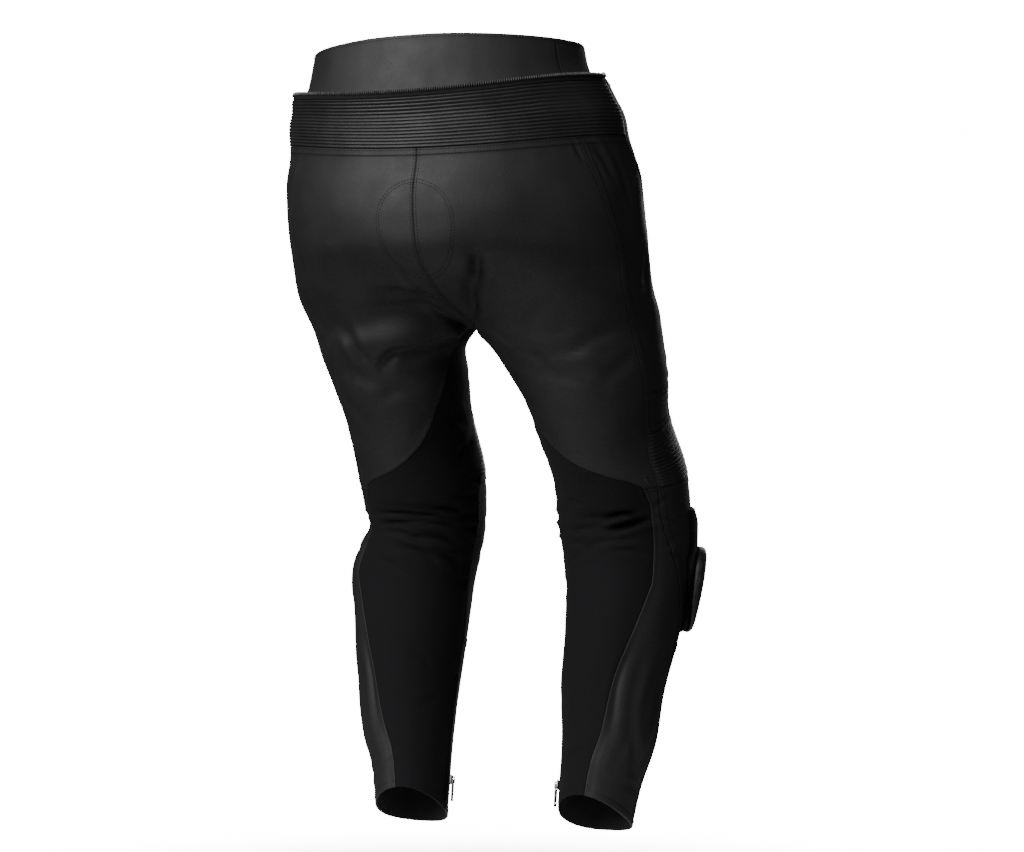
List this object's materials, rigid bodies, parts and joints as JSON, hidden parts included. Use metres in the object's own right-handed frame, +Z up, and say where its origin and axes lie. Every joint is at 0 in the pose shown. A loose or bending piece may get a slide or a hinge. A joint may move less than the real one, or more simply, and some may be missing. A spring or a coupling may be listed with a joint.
{
  "type": "motorcycle trousers",
  "caption": "Black leather riding trousers in worn form, with ribbed back and knee panels, stretch inner legs, knee sliders and lower-leg zips.",
  "frame": {"origin": "middle of the waist opening at the belt line, where the wearer's waist holds the garment", "axes": "+Z up along the body, the front faces -Y, the wearer's left leg is on +X"},
  "size_m": [0.4614, 0.3913, 0.9137],
  "materials": {
    "black_leather": "smooth semi-gloss black hide",
    "ribbed_leather": "black hide sewn in ribs",
    "stretch_cloth": "matte purplish black stretch weave",
    "elastic": "matte black elastic",
    "zip_tape": "black tape with black moulded teeth",
    "loop_pad": "black loop pile over foam",
    "slider_plastic": "hard black plastic, satin",
    "dark_metal": "gunmetal"
  },
  "bodies": {
    "garment": {"back_accordion": "ribbed_leather", "calf_left": "black_leather", "calf_right": "black_leather", "fly_slider_centre": "dark_metal", "fly_zip": "zip_tape", "front_left": "black_leather", "front_right": "black_leather", "joining_zip": "zip_tape", "knee_accordion_left": "ribbed_leather", "knee_accordion_right": "ribbed_leather", "knee_band_left": "black_leather", "knee_band_right": "black_leather", "knee_pad_left": "loop_pad", "knee_pad_right": "loop_pad", "knee_shield_left": "black_leather", "knee_shield_right": "black_leather", "knee_slider_left": "slider_plastic", "knee_slider_right": "slider_plastic", "leg_zip_left": "zip_tape", "leg_zip_right": "zip_tape", "leg_zip_slider_left": "dark_metal", "leg_zip_slider_right": "dark_metal", "seat_left": "black_leather", "seat_right": "black_leather", "shin_left": "black_leather", "shin_right": "black_leather", "stretch_left": "stretch_cloth", "stretch_right": "stretch_cloth", "thigh_side_left": "black_leather", "thigh_side_right": "black_leather", "waist_snap": "dark_metal", "waist_tab": "black_leather", "waistband_back": "black_leather", "waistband_front_left": "black_leather", "waistband_front_right": "black_leather", "waistband_side_left": "elastic", "waistband_side_right": "elastic"},
    "fly_tab_centre": {"fly_tab_centre": "dark_metal"},
    "leg_zip_tab_left": {"leg_zip_tab_left": "dark_metal"},
    "leg_zip_tab_right": {"leg_zip_tab_right": "dark_metal"}
  },
  "joints": [
    {"name": "leg_zip_tab_left_swing", "type": "hinge", "parent": "garment", "child": "leg_zip_tab_left", "pos_m": [0.03882, -0.11009, -0.82766], "axis": [-0.0135, 0.9534, 0.3015], "range_deg": [0, 150]},
    {"name": "leg_zip_tab_right_swing", "type": "hinge", "parent": "garment", "child": "leg_zip_tab_right", "pos_m": [-0.09119, -0.10983, -0.82814], "axis": [0.0013, -0.9533, -0.3019], "range_deg": [0, 150]},
    {"name": "fly_tab_centre_swing", "type": "hinge", "parent": "garment", "child": "fly_tab_centre", "pos_m": [-0.00185, -0.13121, -0.03198], "axis": [-0.9816, 0.0498, 0.1845], "range_deg": [0, 150]}
  ]
}
